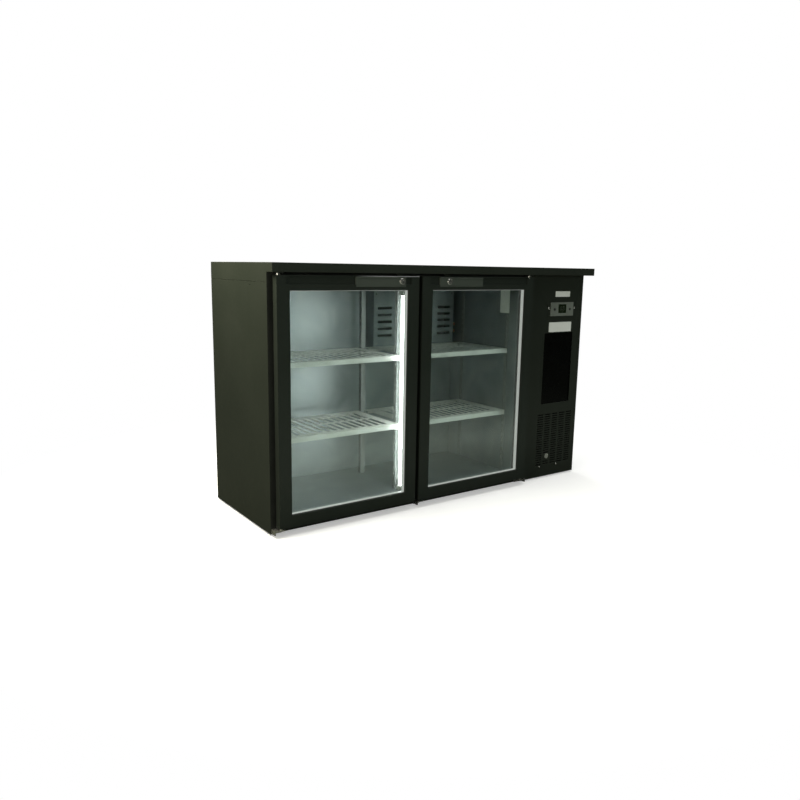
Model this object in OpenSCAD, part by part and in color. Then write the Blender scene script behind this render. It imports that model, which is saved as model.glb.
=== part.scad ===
// Two-door back-bar bottle cooler with a machine bay on its right.
// +Z is up and the doors face -Y. The origin is the centre of the footprint, on the floor.

/* [Cabinet] */
// Width over the worktop
overall_w = 1500; // [1480:5:1510]
// Depth over the worktop, back to front
overall_d = 510; // [500:5:540]
// Height from the floor to the top of the worktop
overall_h = 900; // [900:5:910]
// Thickness of the worktop's front edge
worktop_t = 30; // [28:1:34]
// How far the worktop stands out in front of the cabinet's face
worktop_lip = 40; // [40:1:46]
// How far the worktop stands out past the machine bay
worktop_side = 20; // [10:5:30]
// Height of the worktop's left end, which laps down over the side
cheek_h = 61; // [50:1:70]
// Thickness of the steel sheet
skin_t = 1.2; // [1:0.1:1.5]
// Height of the levelling feet as set
foot_h = 8; // [8:1:10]

/* [Cold space] */
// Thickness of the insulated walls
wall_t = 40; // [36:1:42]
// Height of the inside floor
floor_z = 48; // [44:1:50]
// Height of the inside ceiling
ceiling_z = 819; // [816:1:822]
// Height of the top of the upper shelves
shelf_upper_z = 570; // [540:5:600]
// Height of the top of the lower shelves
shelf_lower_z = 311; // [290:1:330]
// Depth of a shelf, front to back
shelf_d = 300; // [260:10:300]
// Height of a shelf's turned-down front edge
shelf_edge_h = 18; // [14:1:22]

/* [Doors] */
// Width of each door
door_w = 554; // [550:1:556]
// Height of each door
door_h = 829; // [825:1:829]
// Thickness of the door frame
door_t = 27; // [27:1:27]
// Gap between the two doors
door_gap = 16; // [14:1:18]
// Distance from the cabinet's left side to the left door
door_inset = 16; // [14:1:18]
// Height of the doors' bottom edges
door_z = 32; // [32:1:34]
// Width of the door frame's uprights
stile_w = 45; // [43:1:47]
// Height of the door frame's top rail
top_rail_h = 46; // [44:1:48]
// Height of the door frame's bottom rail
bottom_rail_h = 40; // [38:1:44]
// Distance from the latch edge to the lock, left door and right door
lock_from_edge = [73, 124]; // [60:1:130]
// Distance from the latch edge to the grip plate, left door and right door
grip_from_edge = [59, 78]; // [50:1:90]
// Length of a grip plate
grip_w = 205; // [190:1:210]

/* [Machine bay] */
// Width of the machine bay
bay_w = 334; // [330:1:340]
// Outer diameter of the compressor's shell
compressor_d = 150; // [130:5:160]
// Diameter of the condenser fan
condenser_fan_d = 200; // [180:5:200]
// Diameter of the evaporator fan
evaporator_fan_d = 150; // [130:5:160]

/* [Hidden] */
$fn = 48;

// Small overlap that keeps cuts clean
eps = 0.5;

// Planes of the cabinet
left_x = -overall_w / 2;
right_x = overall_w / 2 - worktop_side;
front_y = -overall_d / 2;
face_y = front_y + worktop_lip;
back_y = overall_d / 2;
deck_z = overall_h - worktop_t;
cheek_z = overall_h - cheek_h;
pan_z = foot_h;
sheet_z = pan_z + skin_t;
panel_z = foot_h - 2;
bay_x = right_x - bay_w;
cold_x = [left_x + skin_t, bay_x - skin_t];
joggle = 12;

// Cold space, inside the liner
in_x = [left_x + wall_t, bay_x - wall_t];
in_y = [face_y + 8, back_y - wall_t];
in_z = [floor_z, ceiling_z];
liner_t = 1;
frame_t = 8;
mouth_inset = 4;
mouth_x = [in_x[0] + mouth_inset, in_x[1] - mouth_inset];
mouth_z = [floor_z + mouth_inset, ceiling_z - mouth_inset];

// Doors
door_y = front_y + 3;
door_left_x = left_x + door_inset;
gap_x = door_left_x + door_w + door_gap / 2;
door_right_x = gap_x + door_gap / 2 + door_w;
glass_lip = 5;
pane_t = 4;
pane_gap = 12;
pane_lap = 8;
pivot_in = 12;
pivot_y = door_t / 2;
pin_r = 4;
pin_play = 0.05;
pin_up = 17;
bush_depth = 20;
lock_z = 811;
lock_r = 9;
rose_r = 12.5;
cam_y = 20;
cam_t = 2;
cam_l = 22;
groove_z = [door_h - 29, door_h - 3];
groove_d = 6;
groove_inset = 34;

// Mullion, lamp and shelf supports
flange_w = 72;
web_w = 28;
web_d = 24;
lamp_r = 10;
lamp_x = gap_x - 20;
lamp_y = face_y + 41;
lamp_z = [mouth_z[0] + 14, mouth_z[1] - 14];
upright_w = 20;
upright_t = 2.5;
upright_d = 16;
upright_back_y = 129;
wall_upright_y = [face_y + 64, upright_back_y];
centre_upright_y = [face_y + 96, upright_back_y];
slot_pitch = 25;
shelf_y = [face_y + 60, face_y + 60 + shelf_d];
shelf_t = 1.5;

// Evaporator, on the back wall of the right half
evap_x = [-110, 310];
evap_y = [150, in_y[1]];
evap_z = [568, 795];
evap_mid_x = (evap_x[0] + evap_x[1]) / 2;
evap_fan_z = 690;
evap_fan_y = 155;
evap_fan_t = 16;
coil_y = [191, in_y[1] - 4];
coil_z = [600, 780];
coil_rows = 6;
coil_mid_y = (coil_y[0] + coil_y[1]) / 2;
coil_pitch = (coil_z[1] - coil_z[0]) / coil_rows;
liquid_z = coil_z[0] + coil_pitch / 2;
suction_z = liquid_z + coil_pitch;
pipe_hole_r = 8;
spout_y = 190;
spout_z = 558;
spout_hole_r = 8;

// Machine bay
return_w = 12;
service_x = [bay_x + 1, right_x - return_w - 1];
cond_x = [bay_x + 34, bay_x + 290];
cond_y = [face_y + 26, face_y + 78];
cond_z = [30, 290];
cond_mid_x = (cond_x[0] + cond_x[1]) / 2;
cond_mid_y = (cond_y[0] + cond_y[1]) / 2;
cond_rows = 8;
cond_low_z = cond_z[0] + (cond_z[1] - cond_z[0]) / cond_rows / 2;
cond_top_z = cond_z[0] + cond_z[1] - cond_low_z;
cond_fan_z = 160;
cond_fan_y = face_y + 112;
cond_fan_t = 20;
comp_x = bay_x + 190;
comp_y = 105;
comp_z = 38;
tray_z = [sheet_z, sheet_z + 2];

// Front fittings of the machine bay
bezel_x = [bay_x + 137, bay_x + 275];
bezel_z = [701, 758];
screen_x = [bay_x + 183, bay_x + 231];
screen_z = [713, 750];
inset_x = [bay_x + 112, bay_x + 284];
inset_z = [328, 630];
label_x = [bay_x + 135, bay_x + 271];
label_z = [634, 675];
badge_x = [bay_x + 165, bay_x + 252];
badge_z = [781, 804];
wall_plate_y = [face_y + 60, face_y + 114];
wall_plate_z = [714, 808];
grille_x = [bay_x + 92, bay_x + 310];
grille_z = [62, 280];
grille_cols = 5;
grille_rows = 23;
slot_h = 4.5;
lock_hole = [bay_x + 159, 96];
lock_hole_r = 10;
bezel_screw_z = 734;
bezel_screws = [bay_x + 129, bay_x + 285];
foot_screws = [bay_x + 123, bay_x + 226];
foot_screw_z = 50;
button_r = 5;
button_z = 729;
buttons = [bay_x + 160, bay_x + 253];

// ---- Building blocks ----

// A box between pairs of planes
module block(x, y, z) {
  translate([x[0], y[0], z[0]])
    cube([x[1] - x[0], y[1] - y[0], z[1] - z[0]]);
}

// A picture frame in the XZ plane: outer planes, wall widths left, right, bottom, top
module frame_ring(x, y, z, walls) {
  difference() {
    block(x, y, z);
    block([x[0] + walls[0], x[1] - walls[1]], [y[0] - eps, y[1] + eps],
      [z[0] + walls[2], z[1] - walls[3]]);
  }
}

// A cylinder along +Y
module rod_y(x, y, z, r) {
  translate([x, y[0], z])
    rotate([-90, 0, 0])
      cylinder(h = y[1] - y[0], r = r);
}

// A cylinder along +X
module rod_x(x, y, z, r) {
  translate([x[0], y, z])
    rotate([0, 90, 0])
      cylinder(h = x[1] - x[0], r = r);
}

// A cylinder along +Z
module rod_z(x, y, z, r) {
  translate([x, y, z[0]])
    cylinder(h = z[1] - z[0], r = r);
}

// Places a door's pieces: the left door as drawn, the right door mirrored
module left_door() {
  translate([door_left_x, door_y, door_z])
    children();
}

module right_door() {
  translate([door_right_x, door_y, door_z])
    mirror([1, 0, 0])
      children();
}

// The holes through the machine bay's wall: two pipes and the drain spout
module wall_holes(x) {
  rod_x(x, coil_mid_y, liquid_z, pipe_hole_r);
  rod_x(x, coil_mid_y, suction_z, pipe_hole_r);
  rod_x(x, spout_y, spout_z, spout_hole_r);
}

// ---- Casing ----

module worktop_skin() {
  color([0.05, 0.055, 0.05]) {
    difference() {
      block([left_x, -left_x], [front_y, back_y], [deck_z, overall_h]);
      block([left_x + skin_t, -left_x - skin_t], [front_y + skin_t, back_y - skin_t],
        [deck_z - eps, overall_h - skin_t]);
    }
    block([left_x, left_x + skin_t], [face_y, back_y], [cheek_z, deck_z + skin_t]);
  }
}

module worktop_core() {
  color([0.55, 0.42, 0.28])
    block([left_x + skin_t, -left_x - skin_t], [front_y + skin_t, back_y - skin_t],
      [deck_z, overall_h - skin_t]);
}

// The left side, with a strip behind its top edge that the worktop's end laps over
module left_side_panel() {
  hole_z = cheek_z - joggle;
  color([0.08, 0.09, 0.08]) {
    difference() {
      block([left_x, left_x + skin_t], [face_y, back_y], [panel_z, cheek_z - 0.6]);
      rod_x([left_x - eps, left_x + skin_t + eps], face_y + 128, hole_z, 2.5);
    }
    block([left_x + skin_t, left_x + 2 * skin_t], [face_y + frame_t, back_y - skin_t],
      [cheek_z - 2 * joggle, cheek_z + joggle]);
  }
}

module right_side_panel() {
  color([0.08, 0.09, 0.08]) {
    block([right_x - skin_t, right_x], [face_y, back_y], [panel_z, deck_z]);
    block([right_x - return_w, right_x], [face_y, face_y + skin_t], [panel_z, deck_z]);
  }
}

module rear_panel() {
  color([0.45, 0.46, 0.45])
    difference() {
      block([left_x + skin_t, right_x - skin_t], [back_y - skin_t, back_y], [sheet_z, deck_z]);
      for (row = [0 : 11])
        block([bay_x + 60, bay_x + 270], [back_y - 2 * skin_t, back_y + eps],
          [300 + row * 22, 308 + row * 22]);
      rod_y(bay_x + 280, [back_y - 2 * skin_t, back_y + eps], 120, 11);
    }
}

module base_pan() {
  color([0.45, 0.46, 0.45])
    block([left_x + skin_t, right_x - skin_t], [face_y + skin_t, back_y], [pan_z, sheet_z]);
}

module levelling_feet() {
  color([0.08, 0.08, 0.08])
    for (x = [left_x + 50, bay_x - 40, right_x - 50])
      for (y = [face_y + 45, back_y - 45]) {
        rod_z(x, y, [0, 5], 19);
        rod_z(x, y, [5 - eps, pan_z], 8);
      }
}

module insulation_foam() {
  color([0.85, 0.75, 0.45])
    difference() {
      block([left_x + 2 * skin_t, cold_x[1]], [face_y + frame_t, back_y - skin_t], [sheet_z, deck_z]);
      block([in_x[0] - liner_t, in_x[1] + liner_t], [face_y, in_y[1] + liner_t],
        [in_z[0] - liner_t, in_z[1] + liner_t]);
      wall_holes([in_x[1], bay_x]);
    }
}

module interior_liner() {
  color([0.82, 0.84, 0.84])
    difference() {
      block([in_x[0] - liner_t, in_x[1] + liner_t], [in_y[0], in_y[1] + liner_t],
        [in_z[0] - liner_t, in_z[1] + liner_t]);
      block(in_x, [in_y[0] - eps, in_y[1]], in_z);
      wall_holes([in_x[1] - eps, in_x[1] + liner_t + eps]);
    }
}

module front_frame() {
  color([0.05, 0.055, 0.05])
    frame_ring(cold_x, [face_y, face_y + frame_t], [sheet_z, deck_z],
      [mouth_x[0] - cold_x[0], cold_x[1] - mouth_x[1], mouth_z[0] - sheet_z, deck_z - mouth_z[1]]);
}

module divider_panel() {
  color([0.45, 0.46, 0.45])
    difference() {
      block([bay_x - skin_t, bay_x], [face_y, back_y - skin_t], [sheet_z, deck_z]);
      wall_holes([bay_x - 2 * skin_t, bay_x + eps]);
    }
}

// ---- Mullion and lamp ----

module centre_mullion() {
  color([0.05, 0.055, 0.05]) {
    block([gap_x - flange_w / 2, gap_x + flange_w / 2], [face_y, face_y + 4], mouth_z);
    difference() {
      block([gap_x - web_w / 2, gap_x + web_w / 2], [face_y + 4, face_y + 4 + web_d], mouth_z);
      block([gap_x - web_w / 2 + 2, gap_x + web_w / 2 - 2], [face_y + 6, face_y + 2 + web_d],
        [mouth_z[0] - eps, mouth_z[1] + eps]);
    }
  }
}

// A strip behind the mullion that shades the right bay, with a holder for each end of the tube
module lamp_batten() {
  strip_x = [lamp_x + lamp_r + 2, lamp_x + lamp_r + 12];
  strip_y = [face_y + 4 + web_d, lamp_y + lamp_r + 1];
  color([0.9, 0.9, 0.88]) {
    block(strip_x, strip_y, [lamp_z[0] - 6, lamp_z[1] + 6]);
    for (z = [[lamp_z[0] - 6, lamp_z[0] + 8], [lamp_z[1] - 8, lamp_z[1] + 6]])
      difference() {
        block([lamp_x - lamp_r - 2, strip_x[0] + eps], [strip_y[0], lamp_y + lamp_r + 3], z);
        rod_z(lamp_x, lamp_y, lamp_z, lamp_r + pin_play);
      }
  }
}

module lamp_tube() {
  color([1, 1, 0.97])
    rod_z(lamp_x, lamp_y, lamp_z, lamp_r);
}

// ---- Shelves and their supports ----

// One pierced upright
module upright(x, y) {
  difference() {
    block(x, [y, y + upright_d], [floor_z, ceiling_z]);
    for (z = [floor_z + slot_pitch : slot_pitch : ceiling_z - slot_pitch])
      block([x[0] - eps, x[1] + eps], [y + 5, y + 11], [z, z + 10]);
  }
}

module shelf_uprights() {
  color([0.92, 0.92, 0.9])
    for (i = [0, 1]) {
      upright([in_x[0], in_x[0] + upright_t], wall_upright_y[i]);
      upright([gap_x - upright_w / 2, gap_x + upright_w / 2], centre_upright_y[i]);
      upright([in_x[1] - upright_t, in_x[1]], wall_upright_y[i]);
    }
}

// A hook that sits in an upright's slot and carries a shelf's corner; dir points at the shelf
module clip(x, y, z, dir) {
  lip = dir > 0 ? [x, x + 14] : [x - 14, x];
  block(lip, [y - 1, y + upright_d + 1], [z - shelf_t - 2, z - shelf_t]);
  block(dir > 0 ? [x, x + 2] : [x - 2, x], [y - 1, y + upright_d + 1], [z - 22, z - shelf_t]);
}

module shelf_clips() {
  color([0.75, 0.76, 0.76])
    for (i = [0, 1])
      for (z = [shelf_upper_z, shelf_lower_z]) {
        clip(in_x[0] + upright_t, wall_upright_y[i], z, 1);
        clip(gap_x - upright_w / 2, centre_upright_y[i], z, -1);
        clip(gap_x + upright_w / 2, centre_upright_y[i], z, 1);
        clip(in_x[1] - upright_t, wall_upright_y[i], z, -1);
      }
}

// A pierced steel tray with turned-down front and back edges
module shelf(x, top_z) {
  holes = floor((x[1] - x[0] - 60) / 30);
  start = (x[0] + x[1]) / 2 - (holes - 1) * 15;
  color([0.88, 0.88, 0.86]) {
    difference() {
      block(x, shelf_y, [top_z - shelf_t, top_z]);
      for (i = [0 : holes - 1])
        for (j = [0 : 1])
          block([start + i * 30 - 9, start + i * 30 + 9],
            [shelf_y[0] + 30 + j * 125, shelf_y[0] + 140 + j * 125], [top_z - 3, top_z + eps]);
    }
    block(x, [shelf_y[0], shelf_y[0] + shelf_t], [top_z - shelf_edge_h, top_z - shelf_t]);
    block([x[0] + 16, x[1] - 16], [shelf_y[1] - shelf_t, shelf_y[1]],
      [top_z - shelf_edge_h, top_z - shelf_t]);
  }
}

left_bay = [in_x[0] + 6, gap_x - 18];
right_bay = [gap_x + 18, in_x[1] - 6];
module shelf_upper_left() { shelf(left_bay, shelf_upper_z); }
module shelf_lower_left() { shelf(left_bay, shelf_lower_z); }
module shelf_upper_right() { shelf(right_bay, shelf_upper_z); }
module shelf_lower_right() { shelf(right_bay, shelf_lower_z); }

// ---- Fans ----

// A fan wheel whose shaft lies along Y
module fan_wheel(x, y, z, d, t, blades) {
  hub_r = d * 0.17;
  translate([x, y, z])
    rotate([-90, 0, 0]) {
      cylinder(h = t, r = hub_r);
      intersection() {
        cylinder(h = t, r = d / 2);
        for (i = [0 : blades - 1])
          rotate([0, 0, i * 360 / blades])
            translate([hub_r - 3, 0, t / 2])
              rotate([32, 0, 0])
                translate([0, -d * 0.13, -0.8])
                  cube([d / 2, d * 0.26, 1.6]);
      }
    }
}

module evaporator_fan() {
  color([0.15, 0.15, 0.15])
    fan_wheel(evap_mid_x, evap_fan_y, evap_fan_z, evaporator_fan_d, evap_fan_t, 5);
}

module condenser_fan() {
  color([0.75, 0.77, 0.8])
    fan_wheel(cond_mid_x, cond_fan_y, cond_fan_z, condenser_fan_d, cond_fan_t, 4);
}

// A fan motor behind its wheel, on a bar that spans its shroud
module fan_motor(x, y, z, r, bar) {
  rod_y(x, [y, y + r * 1.2], z, r);
  block([x - bar, x + bar], [y + r * 1.2 - 4, y + r * 1.2 - 1], [z - 8, z + 8]);
}

module fan_motors() {
  color([0.3, 0.3, 0.32]) {
    fan_motor(evap_mid_x, evap_fan_y + evap_fan_t + 0.5, evap_fan_z, 14, evaporator_fan_d / 2 + 6);
    fan_motor(cond_mid_x, cond_fan_y + cond_fan_t + 0.5, cond_fan_z, 38, condenser_fan_d / 2 + 10);
  }
}

// ---- Cold circuit ----

// A finned block: fins across X, end plates, and hairpin tubes that run along X
module finned_block(x, y, z, fins, rows, tube_r) {
  pitch = (x[1] - x[0]) / (fins + 1);
  row_pitch = (z[1] - z[0]) / rows;
  mid_y = (y[0] + y[1]) / 2;
  for (end = [x[0], x[1] - 2])
    block([end, end + 2], [y[0] - 2, y[1] + 2], [z[0] - 4, z[1] + 4]);
  for (i = [1 : fins])
    block([x[0] + i * pitch - 0.5, x[0] + i * pitch + 0.5], y, z);
  for (j = [0 : rows - 1])
    rod_x([x[0] - 8, x[1] + 8], mid_y, z[0] + (j + 0.5) * row_pitch, tube_r);
}

module evaporator_coil() {
  color([0.8, 0.82, 0.84])
    finned_block([evap_x[0] + 20, evap_x[1] - 20], coil_y, coil_z, 30, coil_rows, 4.5);
}

// The gaps of a fan guard: a round opening less its rings and its cross
module guard_gaps(x, y, z, r) {
  bar = 2.4;
  ring_pitch = r / 4;
  difference() {
    rod_y(x, y, z, r);
    for (i = [1 : 3])
      difference() {
        rod_y(x, [y[0] - eps, y[1] + eps], z, i * ring_pitch + bar / 2);
        rod_y(x, [y[0] - 2 * eps, y[1] + 2 * eps], z, i * ring_pitch - bar / 2);
      }
    block([x - r, x + r], [y[0] - eps, y[1] + eps], [z - bar / 2, z + bar / 2]);
    block([x - bar / 2, x + bar / 2], [y[0] - eps, y[1] + eps], [z - r, z + r]);
  }
}

module evaporator_cover() {
  vent_x = [evap_x[0] + 20, evap_x[1] - 20];
  color([0.85, 0.86, 0.86])
    difference() {
      block(evap_x, evap_y, evap_z);
      block([evap_x[0] + 1.5, evap_x[1] - 1.5], [evap_y[0] + 1.5, evap_y[1] + eps],
        [evap_z[0] + 1.5, evap_z[1] - 1.5]);
      guard_gaps(evap_mid_x, [evap_y[0] - eps, evap_y[0] + 4], evap_fan_z, evaporator_fan_d / 2 + 4);
      rod_x([evap_x[1] - 4, evap_x[1] + eps], coil_mid_y, liquid_z, pipe_hole_r);
      rod_x([evap_x[1] - 4, evap_x[1] + eps], coil_mid_y, suction_z, pipe_hole_r);
      for (side = [0, 1])
        for (i = [0 : 4])
          block([vent_x[side] + (side ? -70 : 0), vent_x[side] + (side ? 0 : 70)],
            [evap_y[0] - eps, evap_y[0] + 4], [evap_z[0] + 40 + i * 28, evap_z[0] + 50 + i * 28]);
      block(vent_x, [evap_y[0] + 10, evap_y[1] - 10], [evap_z[0] - eps, evap_z[0] + 4]);
    }
}

module drip_tray() {
  color([0.8, 0.8, 0.78]) {
    difference() {
      union() {
        block(evap_x, [evap_y[0] + 2, evap_y[1]], [evap_z[0] - 20, evap_z[0]]);
        rod_x([evap_x[1] - 1, bay_x + 30], spout_y, spout_z, spout_hole_r - 1.5);
      }
      block([evap_x[0] + 2, evap_x[1] - 2], [evap_y[0] + 4, evap_y[1] - 2],
        [evap_z[0] - 18, evap_z[0] + eps]);
      rod_x([evap_x[1] - 3, bay_x + 31], spout_y, spout_z, spout_hole_r - 3);
    }
  }
}

module compressor() {
  r = compressor_d / 2;
  color([0.06, 0.06, 0.06]) {
    difference() {
      union() {
        translate([comp_x, comp_y, comp_z])
          rotate_extrude($fn = 72)
            polygon([[0, 0], [r * 0.8, 0], [r, 18], [r, 128], [r * 0.93, 148], [r * 0.7, 164],
              [r * 0.35, 171], [0, 172]]);
        block([comp_x - r - 12, comp_x + r + 12], [comp_y - 50, comp_y + 50],
          [comp_z - 3, comp_z + 1]);
      }
      rod_z(comp_x, comp_y, [comp_z - 4, comp_z + 120], r * 0.72);
    }
    block([comp_x - 32, comp_x + 32], [comp_y - r - 34, comp_y - r + 12], [comp_z + 44, comp_z + 112]);
  }
}

module compressor_mounts() {
  color([0.05, 0.05, 0.05])
    for (x = [-1, 1])
      for (y = [-36, 36])
        difference() {
          rod_z(comp_x + x * (compressor_d / 2 - 2), comp_y + y, [tray_z[1], comp_z - 3], 12);
          rod_z(comp_x + x * (compressor_d / 2 - 2), comp_y + y, [tray_z[0], comp_z], 4);
        }
}

module machine_tray() {
  color([0.5, 0.51, 0.5])
    difference() {
      block([bay_x + 4, right_x - 5], [face_y + 20, back_y - 12], tray_z);
      for (x = [-1, 1])
        for (y = [-36, 36])
          rod_z(comp_x + x * (compressor_d / 2 - 2), comp_y + y, [tray_z[0] - 1, tray_z[1] + 1], 4);
    }
}

module condenser() {
  color([0.1, 0.1, 0.1])
    finned_block(cond_x, cond_y, cond_z, 36, cond_rows, 4);
}

module condenser_shroud() {
  color([0.55, 0.56, 0.55])
    difference() {
      block([cond_x[0] + 4, cond_x[1] - 4], [cond_y[1] + 3, cond_fan_y + 24], [cond_z[0], cond_z[1] + 4]);
      block([cond_x[0] + 6, cond_x[1] - 6], [cond_y[1], cond_fan_y - 4],
        [cond_z[0] + 2, cond_z[1] + 2]);
      rod_y(cond_mid_x, [cond_y[1], cond_fan_y + 24 + eps], cond_fan_z, condenser_fan_d / 2 + 5);
    }
}

// A pipe that turns only at right angles, with a brazed ball at each corner
module pipe(points, r) {
  for (i = [0 : len(points) - 2]) {
    a = points[i];
    b = points[i + 1];
    lo = [min(a[0], b[0]), min(a[1], b[1]), min(a[2], b[2])];
    hi = [max(a[0], b[0]), max(a[1], b[1]), max(a[2], b[2])];
    if (hi[0] > lo[0]) rod_x([lo[0], hi[0]], a[1], a[2], r);
    if (hi[1] > lo[1]) rod_y(a[0], [lo[1], hi[1]], a[2], r);
    if (hi[2] > lo[2]) rod_z(a[0], a[1], [lo[2], hi[2]], r);
    if (i > 0)
      translate(a)
        sphere(r = r * 1.25, $fn = 24);
  }
}

module refrigerant_lines() {
  shell_r = compressor_d / 2;
  coil_end_x = evap_x[1] - 12;
  riser_x = [cond_x[0] - 20, cond_x[1] + 20];
  thin_r = 3.2;
  color([0.72, 0.45, 0.25]) {
    pipe([[comp_x + shell_r + 0.1, comp_y, comp_z + 80], [riser_x[1], comp_y, comp_z + 80],
      [riser_x[1], cond_mid_y, comp_z + 80], [riser_x[1], cond_mid_y, cond_top_z],
      [cond_x[1] + 8, cond_mid_y, cond_top_z]], thin_r);
    pipe([[cond_x[0] - 8, cond_mid_y, cond_low_z], [riser_x[0], cond_mid_y, cond_low_z],
      [riser_x[0], cond_mid_y, 330]], thin_r);
    rod_z(riser_x[0], cond_mid_y, [328, 440], 12);
    pipe([[riser_x[0], cond_mid_y, 438], [riser_x[0], cond_mid_y, liquid_z],
      [riser_x[0], coil_mid_y, liquid_z], [coil_end_x, coil_mid_y, liquid_z]], thin_r);
    pipe([[comp_x, comp_y, comp_z + 172], [comp_x, comp_y, suction_z],
      [comp_x, coil_mid_y, suction_z], [coil_end_x, coil_mid_y, suction_z]], 4.5);
  }
}

module evaporation_pan() {
  color([0.12, 0.12, 0.12])
    difference() {
      block([bay_x + 12, bay_x + 82], [40, 230], [tray_z[1], 70]);
      block([bay_x + 14, bay_x + 80], [42, 228], [tray_z[1] + 2, 70 + eps]);
    }
}

module electrical_box() {
  color([0.78, 0.78, 0.76]) {
    block([bay_x, bay_x + 64], [-60, 70], [400, 560]);
    block([bay_x + 64, bay_x + 70], [-54, 64], [406, 554]);
    for (x = [bay_x + 18, bay_x + 44])
      rod_z(x, 0, [390, 401], 8);
  }
}

module mains_inlet() {
  color([0.06, 0.06, 0.06])
    difference() {
      union() {
        rod_y(bay_x + 280, [back_y - skin_t - 4, back_y - skin_t - 0.2], 120, 15);
        rod_y(bay_x + 280, [back_y - 24, back_y - 0.2], 120, 10.6);
      }
      rod_y(bay_x + 280, [back_y - 26, back_y + 1], 120, 5);
    }
}

// ---- Front of the machine bay ----

module service_panel() {
  pitch_x = (grille_x[1] - grille_x[0]) / grille_cols;
  pitch_z = (grille_z[1] - grille_z[0]) / (grille_rows - 1);
  color([0.05, 0.055, 0.05])
    difference() {
      union() {
        block(service_x, [face_y, face_y + skin_t], [panel_z, deck_z]);
        for (x = [service_x[0], service_x[1] - skin_t])
          block([x, x + skin_t], [face_y, face_y + 18], [tray_z[1], deck_z]);
      }
      for (col = [0 : grille_cols - 1])
        for (row = [0 : grille_rows - 1])
          if (col != 1 || row < 2 || row > 4)
            block([grille_x[0] + col * pitch_x + 5, grille_x[0] + (col + 1) * pitch_x - 5],
              [face_y - eps, face_y + 2 * skin_t],
              [grille_z[0] + row * pitch_z - slot_h / 2, grille_z[0] + row * pitch_z + slot_h / 2]);
      block(inset_x, [face_y - eps, face_y + 2 * skin_t], inset_z);
      block([bezel_x[0] + 8, bezel_x[1] - 8], [face_y - eps, face_y + 2 * skin_t],
        [bezel_z[0] + 6, bezel_z[1] - 6]);
      rod_y(lock_hole[0], [face_y - eps, face_y + 2 * skin_t], lock_hole[1], lock_hole_r - 2);
      for (x = bezel_screws)
        rod_y(x, [face_y - eps, face_y + 2 * skin_t], bezel_screw_z, 2.1);
      for (x = foot_screws)
        rod_y(x, [face_y - eps, face_y + 2 * skin_t], foot_screw_z, 2.1);
    }
}

// A round-headed screw through the service panel
module screw(x, z, head_r) {
  rod_y(x, [face_y - 2, face_y], z, head_r);
  rod_y(x, [face_y - eps, face_y + 10], z, 2);
}

module panel_screws() {
  color([0.75, 0.75, 0.73]) {
    for (x = bezel_screws)
      screw(x, bezel_screw_z, 5);
    for (x = foot_screws)
      screw(x, foot_screw_z, 4);
  }
}

module panel_lock() {
  color([0.8, 0.8, 0.78]) {
    difference() {
      rod_y(lock_hole[0], [face_y - 3, face_y - 0.3], lock_hole[1], lock_hole_r + 1);
      block([lock_hole[0] - 8, lock_hole[0] + 8], [face_y - 4, face_y - 1.6],
        [lock_hole[1] - 1, lock_hole[1] + 1]);
    }
    rod_y(lock_hole[0], [face_y - eps, face_y + 8], lock_hole[1], lock_hole_r - 2 - pin_play);
    block([lock_hole[0] - 4, lock_hole[0] + 4], [face_y + 6, face_y + 8],
      [lock_hole[1] - 20, lock_hole[1]]);
  }
}

module inset_cover() {
  color([0.01, 0.01, 0.01])
    difference() {
      block([inset_x[0] - 8, inset_x[1] + 8], [face_y + skin_t, face_y + 8],
        [inset_z[0] - 8, inset_z[1] + 8]);
      block(inset_x, [face_y, face_y + 5], inset_z);
    }
}

module controller_bezel() {
  color([0.78, 0.79, 0.77])
    difference() {
      union() {
        block(bezel_x, [face_y - 4, face_y], bezel_z);
        block([bezel_x[0] + 9, bezel_x[1] - 9], [face_y - eps, face_y + 45],
          [bezel_z[0] + 7, bezel_z[1] - 7]);
      }
      block(screen_x, [face_y - 5, face_y - 2], screen_z);
      for (x = buttons)
        rod_y(x, [face_y - 5, face_y + 6], button_z, button_r + 0.3);
    }
}

module controller_display() {
  color([0.04, 0.05, 0.03])
    block([screen_x[0] + 0.2, screen_x[1] - 0.2], [face_y - 3.4, face_y - 2],
      [screen_z[0] + 0.2, screen_z[1] - 0.2]);
}

// A round push button; it travels back into the bezel
module push_button(x) {
  color([0.25, 0.26, 0.25])
    rod_y(x, [face_y - 5.2, face_y + 3], button_z, button_r);
}

module controller_button_left() { push_button(buttons[0]); }
module controller_button_right() { push_button(buttons[1]); }

module blank_plates() {
  color([0.88, 0.88, 0.86]) {
    block(badge_x, [face_y - 1.5, face_y], badge_z);
    block(label_x, [face_y - 0.6, face_y], label_z);
    block([in_x[1] - upright_t - 0.6, in_x[1] - upright_t], wall_plate_y, wall_plate_z);
  }
}

// ---- Hinges, keeps ----

// A steel angle screwed to the cabinet below a door, with a gusset at its outer end
module floor_bracket(x) {
  difference() {
    union() {
      block(x, [4, worktop_lip - 3], [-10, -6]);
      block(x, [worktop_lip - 6, worktop_lip - 3], [-24, -6]);
      block([x[0], x[0] + 3], [8, worktop_lip - 3], [-22, -6]);
    }
    for (screw_x = [x[0] + 9, x[1] - 7])
      rod_y(screw_x, [worktop_lip - 8, worktop_lip], -17, 2.2);
  }
}

// Lower hinge in the door's frame: a bracket with the pin standing on it
module lower_hinge() {
  floor_bracket([-14, 24]);
  rod_z(pivot_in, pivot_y, [-8, pin_up], pin_r);
  rod_z(pivot_in, pivot_y, [-8, -0.6], 7);
}

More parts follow.
